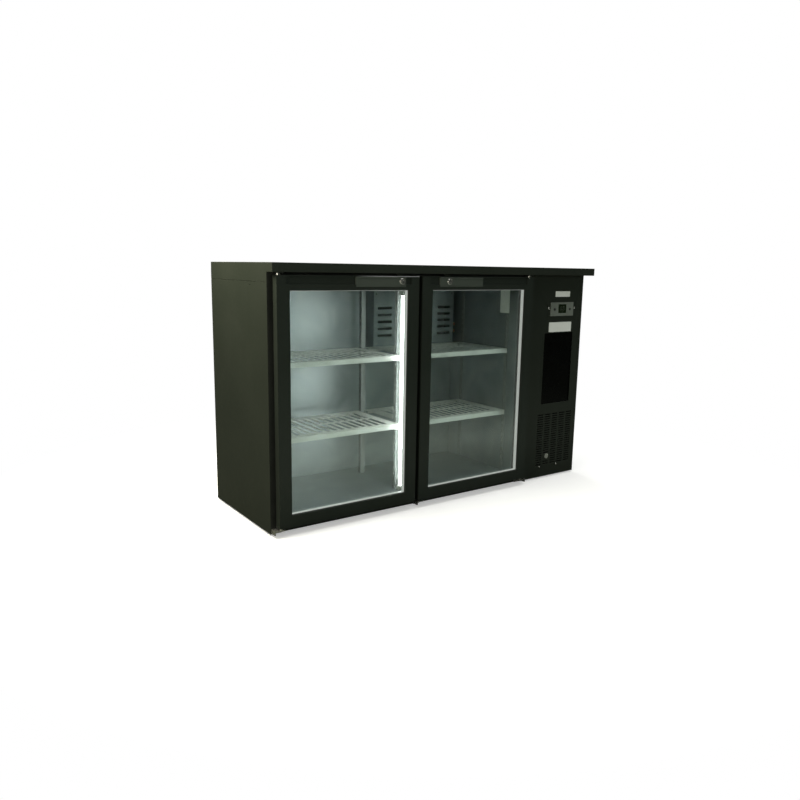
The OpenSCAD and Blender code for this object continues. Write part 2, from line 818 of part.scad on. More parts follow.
// Upper hinge: a flat plate under the worktop's lip with its pin hanging down
module upper_hinge() {
  plate_z = deck_z - door_z;
  block([0, 24], [2, worktop_lip - 4], [plate_z - 3, plate_z]);
  rod_z(pivot_in, pivot_y, [door_h - pin_up, plate_z - 1], pin_r);
  rod_z(pivot_in, pivot_y, [door_h + 0.6, plate_z - 1], 7);
}

module hinge_brackets() {
  color([0.7, 0.71, 0.7]) {
    left_door() {
      lower_hinge();
      upper_hinge();
    }
    right_door() {
      lower_hinge();
      upper_hinge();
    }
    translate([gap_x + 10, door_y, door_z])
      floor_bracket([0, 28]);
  }
}

// A hooked plate that hangs from the worktop in front of the lock's cam
module lock_keep(x) {
  plate_z = deck_z - door_z;
  block([x - 14, x + 14], [cam_y - 5, cam_y - 1], [door_h + 1.5, plate_z]);
  block([x - 14, x + 14], [cam_y - 5, cam_y + 10], [plate_z - 2, plate_z]);
}

module lock_keeps() {
  color([0.08, 0.09, 0.08]) {
    left_door() lock_keep(door_w - lock_from_edge[0]);
    right_door() lock_keep(door_w - lock_from_edge[1]);
  }
}

// ---- Door, drawn with its hinge edge at x = 0, its front at y = 0 and its foot at z = 0 ----

pane_x = [stile_w - pane_lap, door_w - stile_w + pane_lap];
pane_z = [bottom_rail_h - pane_lap, door_h - top_rail_h + pane_lap];
pane_y0 = glass_lip;
pane_y3 = glass_lip + 2 * pane_t + pane_gap;

module door_frame(lock_x) {
  clear = 1;
  color([0.05, 0.055, 0.05])
    difference() {
      frame_ring([0, door_w], [0, door_t], [0, door_h],
        [stile_w, stile_w, bottom_rail_h, top_rail_h]);
      block([pane_x[0] - clear, pane_x[1] + clear], [pane_y0 - 0.2, pane_y3 + 0.2],
        [pane_z[0] - clear, pane_z[1] + clear]);
      block([groove_inset, door_w - groove_inset], [-eps, groove_d], groove_z);
      rod_z(pivot_in, pivot_y, [-eps, bush_depth], pin_r + pin_play);
      rod_z(pivot_in, pivot_y, [door_h - bush_depth, door_h + eps], pin_r + pin_play);
      rod_y(lock_x, [-eps, cam_y], lock_z, lock_r + pin_play);
      rod_y(lock_x, [-eps, groove_d], lock_z, rose_r + 0.5);
      block([lock_x - cam_l - 3, lock_x + 9], [cam_y - 1, cam_y + cam_t + 1], [lock_z - 9, door_h + eps]);
    }
}

module door_panes() {
  color([0.75, 0.85, 0.85, 0.35])
    for (y = [pane_y0, pane_y0 + pane_t + pane_gap])
      block(pane_x, [y, y + pane_t], pane_z);
}

module door_spacer() {
  width = pane_lap + 3;
  color([0.8, 0.81, 0.82])
    frame_ring([pane_x[0] + 1, pane_x[1] - 1], [pane_y0 + pane_t, pane_y0 + pane_t + pane_gap],
      [pane_z[0] + 1, pane_z[1] - 1], [width, width, width, width]);
}

module door_gasket() {
  edge = 8;
  color([0.03, 0.03, 0.03]) {
    frame_ring([edge, door_w - edge], [door_t, door_t + 4], [edge, door_h - edge], [18, 18, 18, 18]);
    frame_ring([edge + 4, door_w - edge - 4], [door_t + 4, worktop_lip - 3.7],
      [edge + 4, door_h - edge - 4], [10, 10, 10, 10]);
  }
}

// A plate in the groove with rolled edges to pull on; the lock stands in a notch in it
module door_grip(i) {
  x = [door_w - grip_from_edge[i] - grip_w, door_w - grip_from_edge[i]];
  lock_x = door_w - lock_from_edge[i];
  color([0.12, 0.13, 0.12])
    difference() {
      union() {
        block(x, [-1, groove_d - 0.2], [groove_z[0] + 0.2, groove_z[1] - 0.2]);
        block(x, [-3, 0], [groove_z[1] - 4, groove_z[1] - 0.2]);
        block(x, [-1, -0.1], [groove_z[0] - 8, groove_z[0] + 1]);
      }
      rod_y(lock_x, [-4, groove_d + 1], lock_z, rose_r + 0.4);
    }
}

module door_lock_rose(lock_x) {
  color([0.85, 0.85, 0.83])
    difference() {
      rod_y(lock_x, [-2.4, groove_d], lock_z, rose_r);
      rod_y(lock_x, [-4, groove_d + 1], lock_z, lock_r + pin_play);
    }
}

// Lock barrel with its key slot and the cam behind it
module door_lock(lock_x) {
  color([0.85, 0.85, 0.83]) {
    difference() {
      rod_y(lock_x, [-3, cam_y], lock_z, lock_r);
      block([lock_x - 1.2, lock_x + 1.2], [-4, 6], [lock_z - 4.5, lock_z + 4.5]);
    }
    block([lock_x - cam_l, lock_x + 6], [cam_y, cam_y + cam_t], [lock_z - 6, lock_z + 6]);
  }
}

module door_left_frame() { left_door() door_frame(door_w - lock_from_edge[0]); }
module door_left_panes() { left_door() door_panes(); }
module door_left_spacer() { left_door() door_spacer(); }
module door_left_gasket() { left_door() door_gasket(); }
module door_left_grip() { left_door() door_grip(0); }
module door_left_lock_rose() { left_door() door_lock_rose(door_w - lock_from_edge[0]); }
module door_left_lock() { left_door() door_lock(door_w - lock_from_edge[0]); }
module door_right_frame() { right_door() door_frame(door_w - lock_from_edge[1]); }
module door_right_panes() { right_door() door_panes(); }
module door_right_spacer() { right_door() door_spacer(); }
module door_right_gasket() { right_door() door_gasket(); }
module door_right_grip() { right_door() door_grip(1); }
module door_right_lock_rose() { right_door() door_lock_rose(door_w - lock_from_edge[1]); }
module door_right_lock() { right_door() door_lock(door_w - lock_from_edge[1]); }

worktop_skin();
worktop_core();
left_side_panel();
right_side_panel();
rear_panel();
base_pan();
levelling_feet();
insulation_foam();
interior_liner();
front_frame();
centre_mullion();
lamp_batten();
lamp_tube();
shelf_uprights();
shelf_clips();
shelf_upper_left();
shelf_lower_left();
shelf_upper_right();
shelf_lower_right();
evaporator_coil();
evaporator_cover();
fan_motors();
evaporator_fan();
drip_tray();
divider_panel();
machine_tray();
compressor();
compressor_mounts();
condenser();
condenser_shroud();
condenser_fan();
refrigerant_lines();
evaporation_pan();
electrical_box();
mains_inlet();
service_panel();
panel_screws();
panel_lock();
inset_cover();
controller_bezel();
controller_display();
controller_button_left();
controller_button_right();
blank_plates();
hinge_brackets();
lock_keeps();
door_left_frame();
door_left_panes();
door_left_spacer();
door_left_gasket();
door_left_grip();
door_left_lock_rose();
door_left_lock();
door_right_frame();
door_right_panes();
door_right_spacer();
door_right_gasket();
door_right_grip();
door_right_lock_rose();
door_right_lock();
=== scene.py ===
import math

import bmesh
import bpy
from mathutils import Matrix, Vector


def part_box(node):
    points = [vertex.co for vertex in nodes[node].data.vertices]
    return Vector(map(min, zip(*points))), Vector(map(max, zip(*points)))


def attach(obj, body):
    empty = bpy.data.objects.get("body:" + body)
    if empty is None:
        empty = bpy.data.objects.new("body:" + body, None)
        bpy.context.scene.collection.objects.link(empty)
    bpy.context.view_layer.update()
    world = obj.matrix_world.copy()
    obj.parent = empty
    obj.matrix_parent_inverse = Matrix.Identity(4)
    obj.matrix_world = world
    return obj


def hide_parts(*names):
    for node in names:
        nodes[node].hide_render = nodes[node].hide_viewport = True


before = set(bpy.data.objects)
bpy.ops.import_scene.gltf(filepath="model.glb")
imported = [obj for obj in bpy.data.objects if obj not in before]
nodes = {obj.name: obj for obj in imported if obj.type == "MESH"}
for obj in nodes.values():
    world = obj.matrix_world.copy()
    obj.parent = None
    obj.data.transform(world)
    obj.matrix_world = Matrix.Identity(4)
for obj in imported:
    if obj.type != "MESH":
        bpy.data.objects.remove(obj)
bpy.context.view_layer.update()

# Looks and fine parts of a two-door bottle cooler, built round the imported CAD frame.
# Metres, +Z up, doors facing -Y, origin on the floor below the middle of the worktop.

MM = 0.001


# ---------------------------------------------------------------- camera

CAMERA_AT = Vector((-1.7236, -2.3063, 0.8873))
CAMERA_YAW = 0.6203
CAMERA_PITCH = 0.1816
CAMERA_ROLL = 0.0170
SENSOR_WIDTH = 36.0
LENS = 32.24


def make_camera():
    """A camera turned by yaw from +Y towards +X, tipped down by pitch and rolled."""
    forward = Vector((
        math.sin(CAMERA_YAW) * math.cos(CAMERA_PITCH),
        math.cos(CAMERA_YAW) * math.cos(CAMERA_PITCH),
        -math.sin(CAMERA_PITCH),
    ))
    level = Vector((math.cos(CAMERA_YAW), -math.sin(CAMERA_YAW), 0))
    up = level.cross(forward)
    right = level * math.cos(CAMERA_ROLL) + up * math.sin(CAMERA_ROLL)
    top = up * math.cos(CAMERA_ROLL) - level * math.sin(CAMERA_ROLL)
    data = bpy.data.cameras.new("camera")
    data.sensor_width = SENSOR_WIDTH
    data.lens = LENS
    camera = bpy.data.objects.new("camera", data)
    turned = Matrix((right, top, -forward)).transposed().to_4x4()
    camera.matrix_world = Matrix.Translation(CAMERA_AT) @ turned
    bpy.context.scene.collection.objects.link(camera)
    bpy.context.scene.camera = camera


make_camera()


# ---------------------------------------------------------------- materials

class Look:
    """A Principled material with short calls for the procedural nodes that feed it."""

    def __init__(self, name, **values):
        self.material = bpy.data.materials.new(name)
        self.material.use_nodes = True
        self.tree = self.material.node_tree
        self.shader = self.tree.nodes["Principled BSDF"]
        self.output = self.tree.nodes["Material Output"]
        self.place = self.add("ShaderNodeTexCoord").outputs["Object"]
        self.set(**values)

    def add(self, kind, **settings):
        node = self.tree.nodes.new(kind)
        for key, value in settings.items():
            setattr(node, key, value)
        return node

    def link(self, source, target):
        self.tree.links.new(source, target)

    def set(self, **values):
        """Sets the shader's sockets; base_color stands for the socket Base Color."""
        for key, value in values.items():
            socket = self.shader.inputs[key.replace("_", " ").title().replace("Ior", "IOR")]
            if isinstance(value, bpy.types.NodeSocket):
                self.link(value, socket)
            elif isinstance(value, tuple):
                socket.default_value = (*value, 1)
            else:
                socket.default_value = value
        return self

    def stretched(self, scale):
        mapping = self.add("ShaderNodeMapping")
        mapping.inputs["Scale"].default_value = scale
        self.link(self.place, mapping.inputs["Vector"])
        return mapping.outputs["Vector"]

    def noise(self, scale, detail=3.0, stretch=None, distortion=0.0):
        node = self.add("ShaderNodeTexNoise")
        self.link(self.stretched(stretch) if stretch else self.place, node.inputs["Vector"])
        node.inputs["Scale"].default_value = scale
        node.inputs["Detail"].default_value = detail
        node.inputs["Distortion"].default_value = distortion
        return node.outputs["Fac"]

    def cells(self, scale, output="Distance", feature="F1", stretch=None):
        node = self.add("ShaderNodeTexVoronoi", feature=feature)
        self.link(self.stretched(stretch) if stretch else self.place, node.inputs["Vector"])
        node.inputs["Scale"].default_value = scale
        return node.outputs[output]

    def span(self, value, low, high, source=(0.3, 0.7)):
        """Maps a value from the source range to low..high, clamped."""
        node = self.add("ShaderNodeMapRange")
        self.link(value, node.inputs["Value"])
        for key, number in zip(("From Min", "From Max", "To Min", "To Max"), (*source, low, high)):
            node.inputs[key].default_value = number
        return node.outputs["Result"]

    def colours(self, value, *stops):
        """A colour ramp; each stop is (position, (r, g, b))."""
        ramp = self.add("ShaderNodeValToRGB").color_ramp
        while len(ramp.elements) < len(stops):
            ramp.elements.new(0.5)
        for element, (position, colour) in zip(ramp.elements, stops):
            element.position = position
            element.color = (*colour, 1)
        node = self.tree.nodes[-1]
        self.link(value, node.inputs["Fac"])
        return node.outputs["Color"]

    def mix(self, factor, a, b, blend="MIX"):
        node = self.add("ShaderNodeMix", data_type="RGBA", blend_type=blend)
        for socket, value in zip((node.inputs["Factor"], node.inputs[6], node.inputs[7]), (factor, a, b)):
            if isinstance(value, bpy.types.NodeSocket):
                self.link(value, socket)
            else:
                socket.default_value = (*value, 1) if isinstance(value, tuple) else value
        return node.outputs[2]

    def maths(self, operation, a, b=0.0):
        node = self.add("ShaderNodeMath", operation=operation)
        for socket, value in zip(node.inputs, (a, b)):
            if isinstance(value, bpy.types.NodeSocket):
                self.link(value, socket)
            else:
                socket.default_value = value
        return node.outputs["Value"]

    def axis(self, name):
        """X, Y or Z of the place on the object, in metres."""
        node = self.add("ShaderNodeSeparateXYZ")
        self.link(self.place, node.inputs["Vector"])
        return node.outputs[name]

    def upward(self):
        """How far the surface faces up, for dust that settles."""
        node = self.add("ShaderNodeNewGeometry")
        split = self.add("ShaderNodeSeparateXYZ")
        self.link(node.outputs["Normal"], split.inputs["Vector"])
        return self.span(split.outputs["Z"], 0, 1, (0.3, 1.0))

    def bump(self, height, depth, strength=1.0):
        """Bumps the surface by depth metres; a second call stacks on the first."""
        node = self.add("ShaderNodeBump")
        node.inputs["Strength"].default_value = strength
        node.inputs["Distance"].default_value = depth
        self.link(height, node.inputs["Height"])
        normal = self.shader.inputs["Normal"]
        if normal.links:
            self.link(normal.links[0].from_socket, node.inputs["Normal"])
        self.link(node.outputs["Normal"], normal)
        return self

    def done(self):
        return self.material


def painted(name, dark, light, rough, peel=0.00004, peel_scale=420, specular=0.25, dust=0.05):
    """Stoved or powder paint on sheet: orange peel, smears that change the gloss, settled dust."""
    look = Look(name, specular_ior_level=specular)
    smear = look.noise(5, 5, distortion=0.8)
    cloud = look.noise(2.2, 2)
    specks = look.span(look.noise(900, 1), 0, 1, (0.68, 0.74))
    paint = look.mix(look.span(cloud, 0, 1), dark, light)
    dusty = look.mix(look.maths("MULTIPLY", look.upward(), look.span(smear, 0.3 * dust, 3 * dust)),
                     paint, (0.35, 0.35, 0.32))
    look.set(base_color=look.mix(look.maths("MULTIPLY", specks, 0.06), dusty, (0.4, 0.4, 0.38)),
             roughness=look.span(smear, *rough))
    look.bump(look.noise(peel_scale, 2), peel)
    look.bump(look.noise(24, 2), 0.00025, 0.25)
    return look


def door_edge_painted_highlight(look, low_x, full_x, face_y, top_z, depth=0.0026):
    """Paints a highlight along a door's upper front edge, a bright aluminium tone over the paint, stronger
    towards full_x.
    """
    place_x = look.span(look.axis("X"), 0, 1, (low_x, full_x))
    near_front = look.span(look.axis("Y"), 1, 0, (face_y + depth * 0.6, face_y + depth))
    near_top = look.span(look.axis("Z"), 0, 1, (top_z - depth, top_z - depth * 0.7))
    patchy = look.span(look.noise(260, 4, stretch=(0.25, 1, 1)), 0.55, 1.0, (0.25, 0.55))
    along_top = look.maths("MULTIPLY", place_x, patchy)
    on_edge = look.maths("MULTIPLY", near_front, near_top)
    bare_metal_and_highlight = look.maths("MULTIPLY", along_top, on_edge)
    paint = look.shader.inputs["Base Color"].links[0].from_socket
    # painted highlight: a bright aluminium tone and some metallic over the paint
    look.set(base_color=look.mix(bare_metal_and_highlight, paint, (0.62, 0.63, 0.68)),
             metallic=look.maths("MULTIPLY", bare_metal_and_highlight, 0.5))
    return look


def darkened_above(look, height, colour=(0.012, 0.014, 0.012)):
    """Near-black, non-metallic colour on whatever of an unpainted metal node lies above a height."""
    bare_metal_and_highlight = look.shader.inputs["Base Color"].links[0].from_socket
    over = look.span(look.axis("Z"), 0, 1, (height - 0.0001, height + 0.0001))
    look.set(base_color=look.mix(over, bare_metal_and_highlight, colour), metallic=look.span(over, 0.95, 0.0, (0, 1)))
    return look


def moulded(name, dark, light, rough, grain=0.00005, grain_scale=1400, specular=0.4):
    """Injection-moulded plastic with a fine leather-like grain."""
    look = Look(name, specular_ior_level=specular)
    look.set(base_color=look.mix(look.span(look.noise(14, 4), 0, 1), dark, light),
             roughness=look.span(look.noise(40, 3), *rough))
    look.bump(look.cells(grain_scale, feature="SMOOTH_F1"), grain)
    return look


def metal(name, dark, light, rough, brushed=None, scratch=0.00001, metallic=0.95):
    """Bare metal: a slow change of tone, fine scratches, and a brushed grain if asked for."""
    look = Look(name, metallic=metallic)
    cloud = look.noise(9, 5, distortion=0.6)
    look.set(base_color=look.mix(look.span(cloud, 0, 1), dark, light))
    grain = look.noise(300, 3, stretch=brushed or (1, 1, 1))
    look.set(roughness=look.span(look.mix(0.5, cloud, grain), *rough))
    look.bump(grain, scratch)
    return look


def galvanised(name):
    """Hot-dipped zinc with its spangle and a white bloom."""
    look = Look(name, metallic=0.85)
    spangle = look.add("ShaderNodeTexVoronoi")
    look.link(look.place, spangle.inputs["Vector"])
    spangle.inputs["Scale"].default_value = 75
    tone = look.add("ShaderNodeSeparateColor")
    look.link(spangle.outputs["Color"], tone.inputs["Color"])
    bloom = look.span(look.noise(7, 5), 0, 0.35)
    zinc = look.colours(tone.outputs["Red"], (0, (0.33, 0.345, 0.35)), (1, (0.50, 0.515, 0.52)))
    look.set(base_color=look.mix(bloom, zinc, (0.55, 0.56, 0.56)),
             roughness=look.span(tone.outputs["Green"], 0.34, 0.52, (0, 1)))
    look.bump(tone.outputs["Blue"], 0.00002)
    return look


def chipboard(name):
    """Pressed wood chips, lying flat."""
    look = Look(name, roughness=0.8)
    chips = look.add("ShaderNodeTexVoronoi")
    look.link(look.stretched((1, 1, 3)), chips.inputs["Vector"])
    chips.inputs["Scale"].default_value = 260
    tone = look.add("ShaderNodeSeparateColor")
    look.link(chips.outputs["Color"], tone.inputs["Color"])
    wood = ((0, (0.30, 0.19, 0.10)), (0.5, (0.48, 0.34, 0.20)), (1, (0.62, 0.48, 0.32)))
    look.set(base_color=look.colours(tone.outputs["Red"], *wood))
    look.bump(chips.outputs["Distance"], 0.0004)
    return look


def foam(name):
    """Yellowed polyurethane foam with open cells."""
    look = Look(name, roughness=0.9, subsurface_weight=0.05)
    yellows = ((0.3, (0.60, 0.47, 0.20)), (0.7, (0.74, 0.62, 0.33)))
    look.set(base_color=look.colours(look.noise(30, 5), *yellows))
    look.bump(look.cells(700), 0.0006)
    return look


def stucco(name):
    """Embossed aluminium sheet with a satin finish."""
    look = Look(name, metallic=0.75)
    smear = look.noise(6, 5, distortion=1.0)
    look.set(base_color=look.mix(look.span(smear, 0, 1), (0.25, 0.275, 0.285), (0.36, 0.385, 0.395)),
             roughness=look.span(smear, 0.36, 0.5))
    look.bump(look.cells(150, feature="SMOOTH_F1"), 0.0003, 0.35)
    look.bump(look.noise(600, 2), 0.00003)
    return look


def enamel(name, white=(0.60, 0.605, 0.58), yellowed=(0.53, 0.53, 0.49)):
    """A light coat that has yellowed in patches."""
    look = Look(name)
    stain = look.noise(11, 5, distortion=0.7)
    look.set(base_color=look.mix(look.span(stain, 0, 1, (0.4, 0.75)), white, yellowed),
             roughness=look.span(stain, 0.28, 0.42))
    look.bump(look.noise(500, 2), 0.00004)
    return look


LAMP_STRENGTH = 22.0
LAMP_DIM_END = 0.035


def lamp(name, low_z, high_z):
    """A lit fluorescent tube that dims and greys towards its ends."""
    look = Look(name, roughness=0.25, emission_strength=LAMP_STRENGTH)
    height = look.axis("Z")
    low = look.span(height, 0, 1, (low_z, low_z + LAMP_DIM_END))
    high = look.span(height, 1, 0, (high_z - LAMP_DIM_END, high_z))
    lit = look.maths("MULTIPLY", low, high)
    powder = look.span(look.noise(300, 3), 0.97, 1.0)
    bright = look.maths("MULTIPLY", lit, powder)
    look.set(base_color=look.colours(lit, (0, (0.55, 0.53, 0.5)), (1, (0.95, 0.95, 0.93))),
             emission_color=look.mix(bright, (0.10, 0.09, 0.07), (0.96, 1.0, 0.98)))
    return look


def glass(name):
    """Clear float glass with a green cast; light for shadows passes straight through."""
    look = Look(name, base_color=(0.94, 0.98, 0.965), transmission_weight=1.0, ior=1.45)
    look.set(roughness=look.span(look.noise(16, 5, distortion=1.2), 0.0, 0.015, (0.5, 0.8)))
    clear = look.add("ShaderNodeBsdfTransparent")
    clear.inputs["Color"].default_value = (0.93, 0.96, 0.95, 1)
    rays = look.add("ShaderNodeLightPath")
    mix = look.add("ShaderNodeMixShader")
    look.link(rays.outputs["Is Shadow Ray"], mix.inputs["Fac"])
    look.link(look.shader.outputs["BSDF"], mix.inputs[1])
    look.link(clear.outputs["BSDF"], mix.inputs[2])
    look.link(mix.outputs["Shader"], look.output.inputs["Surface"])
    return look


def rubber(name, tone=0.018):
    """Black rubber with a dull bloom."""
    look = Look(name, specular_ior_level=0.35)
    bloom = look.noise(35, 5)
    look.set(base_color=look.mix(look.span(bloom, 0, 1), (tone * 0.8,) * 3, (tone * 1.6,) * 3),
             roughness=look.span(bloom, 0.55, 0.78))
    look.bump(look.noise(900, 3), 0.00004)
    return look


# faint glow of the door spacer bars: painted light
SPACER_GLOW = 0.34
UPPER_PLATE_DEPTH = 0.0035
DOOR_COAT = ((0.015, 0.0195, 0.0155), (0.0185, 0.0235, 0.019), (0.34, 0.48))
tube_low, tube_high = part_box("lamp_tube")
grip_low, grip_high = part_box("door_left_grip")
left_door_low, left_door_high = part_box("door_left_frame")
bracket_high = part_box("hinge_brackets")[1]

LOOKS = {
    "coated": painted("coated_steel", (0.0165, 0.0205, 0.0155), (0.0205, 0.025, 0.019), (0.38, 0.52)),
    "door": painted("door_coating", *DOOR_COAT, dust=0.03),
    # the left door's frame carries a painted highlight along its top front edge
    "door_with_painted_highlight": door_edge_painted_highlight(
        painted("door_coating_with_painted_highlight", *DOOR_COAT, dust=0.03),
        grip_low.x, (grip_low.x + grip_high.x) / 2, left_door_low.y, left_door_high.z),
    "chipboard": chipboard("chipboard"),
    "zinc": galvanised("galvanised_sheet"),
    "foam": foam("insulating_foam"),
    "liner": stucco("embossed_aluminium"),
    "black_plastic": moulded("black_plastic", (0.012, 0.014, 0.012), (0.02, 0.022, 0.019), (0.45, 0.6)),
    "button": moulded("button_rubber", (0.02, 0.02, 0.02), (0.035, 0.035, 0.033), (0.5, 0.65)),
    "gloss_black": moulded("gloss_black", (0.001, 0.0012, 0.001), (0.002, 0.0022, 0.002), (0.2, 0.3),
                           0.000005, specular=0.15),
    "screen": moulded("screen_glass", (0.006, 0.012, 0.004), (0.012, 0.022, 0.008), (0.08, 0.14),
                      0.000002, specular=0.5),
    "enamel": enamel("white_enamel"),
    "lamp": lamp("lamp_tube", tube_low.z, tube_high.z),
    "bright": metal("bright_steel", (0.55, 0.55, 0.53), (0.72, 0.72, 0.70), (0.16, 0.3)),
    "bracket": darkened_above(metal("bracket_steel", (0.50, 0.50, 0.48), (0.66, 0.66, 0.64), (0.2, 0.34)),
                             bracket_high.z - UPPER_PLATE_DEPTH),
    "upright": metal("upright_steel", (0.20, 0.21, 0.205), (0.27, 0.28, 0.275), (0.34, 0.5), metallic=0.4),
    "clip": metal("clip_steel", (0.42, 0.43, 0.43), (0.55, 0.56, 0.56), (0.28, 0.42)),
    "fin": metal("coil_aluminium", (0.62, 0.63, 0.65), (0.74, 0.75, 0.77), (0.3, 0.45), (1, 1, 8)),
    "motor": painted("motor_paint", (0.05, 0.05, 0.055), (0.075, 0.075, 0.08), (0.4, 0.55)),
    "compressor": painted("compressor_paint", (0.008, 0.008, 0.008), (0.014, 0.014, 0.014), (0.22, 0.4),
                          0.00012, 220, 0.5),
    "condenser": painted("condenser_paint", (0.012, 0.012, 0.012), (0.03, 0.03, 0.028), (0.4, 0.6),
                         dust=0.2),
    "copper": metal("copper_pipe", (0.55, 0.24, 0.13), (0.80, 0.42, 0.26), (0.22, 0.42)),
    "grey_plastic": moulded("grey_plastic", (0.42, 0.42, 0.41), (0.5, 0.5, 0.49), (0.42, 0.55)),
    "silver": moulded("silver_plastic", (0.135, 0.15, 0.13), (0.175, 0.19, 0.17), (0.3, 0.42),
                      0.00002, specular=0.5),
    "plate": enamel("blank_plate", (0.82, 0.83, 0.80), (0.74, 0.75, 0.71)),
    "glass": glass("door_glass"),
    # the spacer bars glow faintly by SPACER_GLOW: painted light standing in for the light that falls on
    # them through the glass
    "spacer": metal("spacer_bar", (0.13, 0.135, 0.13), (0.19, 0.195, 0.185), (0.42, 0.56), (1, 1, 6),
                    metallic=0.1).set(emission_color=(0.97, 1.0, 0.95), emission_strength=SPACER_GLOW),
    "rubber": rubber("gasket_rubber"),
    "mount": rubber("mount_rubber", 0.014),
    "digits": moulded("display_segments", (0.05, 0.06, 0.045), (0.06, 0.07, 0.055), (0.3, 0.4),
                      0.000002),
    "grip": painted("grip_coating", (0.05, 0.06, 0.05), (0.062, 0.073, 0.062), (0.34, 0.46), dust=0.03),
}

# CAD nodes by look, each with the radius of its edges in millimetres (0 leaves them as they are)
NODE_LOOKS = {
    "coated": {"worktop_skin": 1.2, "left_side_panel": 0.5, "right_side_panel": 0.5, "service_panel": 0.4,
               "lock_keeps": 0.4},
    "chipboard": {"worktop_core": 0},
    "zinc": {"rear_panel": 0.3, "base_pan": 0.3, "divider_panel": 0, "machine_tray": 0.3,
             "condenser_shroud": 0.6},
    "foam": {"insulation_foam": 0},
    "liner": {"interior_liner": 0.8, "evaporator_cover": 0.6, "drip_tray": 0.8},
    "black_plastic": {"front_frame": 1.0, "centre_mullion": 1.0, "levelling_feet": 0.8,
                      "evaporation_pan": 0.8, "mains_inlet": 0.8, "evaporator_fan": 0.3},
    "button": {"controller_button_left": 0.8, "controller_button_right": 0.8},
    "gloss_black": {"inset_cover": 0.4},
    "screen": {"controller_display": 0.3},
    "enamel": {"lamp_batten": 0.8, "shelf_upper_left": 0.5, "shelf_lower_left": 0.5,
               "shelf_upper_right": 0.5, "shelf_lower_right": 0.5},
    "lamp": {"lamp_tube": 1.5},
    "clip": {"shelf_clips": 0.3},
    "upright": {"shelf_uprights": 0.3},
    "bright": {"panel_screws": 0.6, "panel_lock": 0.6, "door_left_lock_rose": 0.6, "door_left_lock": 0.5,
               "door_right_lock_rose": 0.6, "door_right_lock": 0.5},
    "fin": {"evaporator_coil": 0, "condenser_fan": 0.3},
    "motor": {"fan_motors": 1.5},
    "compressor": {"compressor": 2.5},
    "mount": {"compressor_mounts": 1.5},
    "condenser": {"condenser": 0},
    "copper": {"refrigerant_lines": 0},
    "grey_plastic": {"electrical_box": 1.5},
    "silver": {"controller_bezel": 1.2},
    "plate": {"blank_plates": 0.3},
    "bracket": {"hinge_brackets": 0.5},
    "door": {"door_right_frame": 1.8},
    "door_with_painted_highlight": {"door_left_frame": 1.8},
    "glass": {"door_left_panes": 0, "door_right_panes": 0},
    "spacer": {"door_left_spacer": 0.4, "door_right_spacer": 0.4},
    "rubber": {"door_left_gasket": 1.2, "door_right_gasket": 1.2},
    "grip": {"door_left_grip": 0.8, "door_right_grip": 0.8},
}


WELD_DISTANCE = 0.00002
BEVEL_ANGLE = math.radians(35)


def soften(obj, radius):
    """Rounds a mesh's sharp edges with modifiers alone; the radius is in millimetres."""
    weld = obj.modifiers.new("weld", "WELD")
    weld.merge_threshold = WELD_DISTANCE
    bevel = obj.modifiers.new("edges", "BEVEL")
    bevel.width = radius * MM
    bevel.segments = 3
    bevel.limit_method = "ANGLE"
    bevel.angle_limit = BEVEL_ANGLE
    bevel.harden_normals = False
    shade = obj.modifiers.new("shade", "WEIGHTED_NORMAL")
    shade.keep_sharp = True


for look_name, members in NODE_LOOKS.items():
    for node_name, edge in members.items():
        obj = nodes[node_name]
        obj.data.materials.clear()
        obj.data.materials.append(LOOKS[look_name].done())
        if edge:
            soften(obj, edge)


# ---------------------------------------------------------------- mesh tools

class Solid:
    """Closed shapes gathered into one mesh, in metres."""

    def __init__(self):
        self.points = []
        self.faces = []

    def loft(self, sections, closed=False):
        """Joins outlines of equal length in order; open ends are capped."""
        start = len(self.points)
        size = len(sections[0])
        for section in sections:
            self.points += [tuple(point) for point in section]
        last = len(sections) if closed else len(sections) - 1
        for i in range(last):
            here = start + i * size
            there = start + (i + 1) % len(sections) * size
            for j in range(size):
                k = (j + 1) % size
                self.faces.append((here + j, here + k, there + k, there + j))
        if not closed:
            self.faces.append(tuple(range(start, start + size)))
            end = start + (len(sections) - 1) * size
            self.faces.append(tuple(range(end, end + size)))
        return self

    def box(self, low, high):
        corners = ((low[0], low[1]), (high[0], low[1]), (high[0], high[1]), (low[0], high[1]))
        return self.loft([[(x, y, z) for x, y in corners] for z in (low[2], high[2])])

    def ring(self, profile, x, z, y):
        """A mitred frame in the XZ plane; the profile is (inset, depth) in millimetres."""
        corners = ((x[0], z[0], 1, 1), (x[1], z[0], -1, 1), (x[1], z[1], -1, -1), (x[0], z[1], 1, -1))
        sections = []
        for cx, cz, sx, sz in corners:
            sections.append([(cx + sx * inset * MM, y + depth * MM, cz + sz * inset * MM)
                             for inset, depth in profile])
        return self.loft(sections, closed=True)

    def turned(self, profile, at, axis="Z", steps=48):
        """Turns a closed profile of (radius, height) in millimetres about an axis through a point."""
        sections = []
        for i in range(steps):
            angle = math.tau * i / steps
            section = []
            for radius, height in profile:
                u, v, w = radius * math.cos(angle) * MM, radius * math.sin(angle) * MM, height * MM
                offset = Vector((u, v, w)) if axis == "Z" else Vector((u, w, v))
                section.append(Vector(at) + offset)
            sections.append(section)
        return self.loft(sections, closed=True)

    def mesh(self, name):
        """The gathered shapes as a mesh without doubled points or loose edges."""
        mesh = bpy.data.meshes.new(name)
        mesh.from_pydata(self.points, [], self.faces)
        work = bmesh.new()
        work.from_mesh(mesh)
        bmesh.ops.remove_doubles(work, verts=work.verts, dist=1e-6)
        loose = [edge for edge in work.edges if not edge.link_faces]
        bmesh.ops.delete(work, geom=loose, context="EDGES")
        bmesh.ops.recalc_face_normals(work, faces=work.faces)
        for face in work.faces:
            face.smooth = True
        work.to_mesh(mesh)
        work.free()
        return mesh


